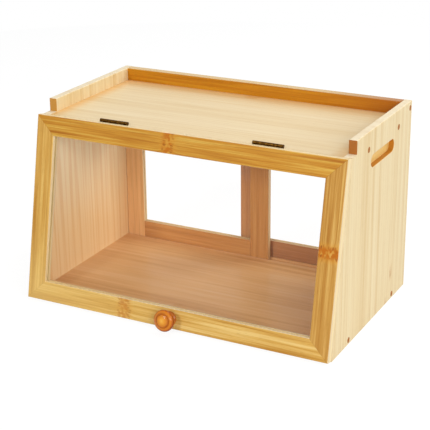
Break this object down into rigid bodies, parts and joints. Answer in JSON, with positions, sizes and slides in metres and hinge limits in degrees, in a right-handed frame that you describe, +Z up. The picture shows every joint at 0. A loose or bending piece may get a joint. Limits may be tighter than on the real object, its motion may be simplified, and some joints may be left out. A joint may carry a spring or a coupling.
{
  "type": "bread box",
  "caption": "Wooden countertop bread box: a slanted clear front door hinged at the top, a railed tray on top, finger grips in the sides and clear sliding panels behind.",
  "frame": {"origin": "middle of the footprint at the table, knob included: bottom centre of the bounding box", "axes": "+X to the right seen from the front, along the width; +Y to the back, so the door faces -Y; +Z up"},
  "size_m": [0.4, 0.266, 0.24],
  "materials": {
    "bamboo": "satin lacquered bamboo",
    "turned_knob_wood": "glossy lacquered turned wood",
    "plug_wood": "darker wood, flush",
    "clear_acrylic": "clear acrylic sheet",
    "antique_brass": "dark antique brass",
    "screw_steel": "zinc-plated steel"
  },
  "bodies": {
    "case": {"back_rail": "bamboo", "floor_board": "bamboo", "hinge_left_board_leaf": "antique_brass", "hinge_left_board_screws": "screw_steel", "hinge_left_pin": "antique_brass", "hinge_right_board_leaf": "antique_brass", "hinge_right_board_screws": "screw_steel", "hinge_right_pin": "antique_brass", "side_panel_left": "bamboo", "side_panel_right": "bamboo", "side_plugs_left": "plug_wood", "side_plugs_right": "plug_wood", "side_screws_left": "screw_steel", "side_screws_right": "screw_steel", "top_board": "bamboo"},
    "door": {"door_bottom_rail": "bamboo", "door_knob": "turned_knob_wood", "door_left_stile": "bamboo", "door_pane": "clear_acrylic", "door_right_stile": "bamboo", "door_top_rail": "bamboo", "hinge_left_door_leaf": "antique_brass", "hinge_left_door_screws": "screw_steel", "hinge_right_door_leaf": "antique_brass", "hinge_right_door_screws": "screw_steel", "knob_screw": "screw_steel"},
    "inner_slider": {"inner_slider_bottom_rail": "bamboo", "inner_slider_left_stile": "bamboo", "inner_slider_pane": "clear_acrylic", "inner_slider_right_stile": "bamboo", "inner_slider_top_rail": "bamboo"},
    "outer_slider": {"outer_slider_bottom_rail": "bamboo", "outer_slider_left_stile": "bamboo", "outer_slider_pane": "clear_acrylic", "outer_slider_right_stile": "bamboo", "outer_slider_top_rail": "bamboo"}
  },
  "joints": [
    {"name": "door_hinge", "type": "hinge", "parent": "case", "child": "door", "pos_m": [0, -0.05861, 0.22616], "axis": [-1, 0, 0], "range_deg": [0, 168.5]},
    {"name": "inner_panel_slide", "type": "slide", "parent": "case", "child": "inner_slider", "axis": [1, 0, 0], "range_m": [0, 0.167]},
    {"name": "outer_panel_slide", "type": "slide", "parent": "case", "child": "outer_slider", "axis": [-1, 0, 0], "range_m": [0, 0.167]}
  ]
}
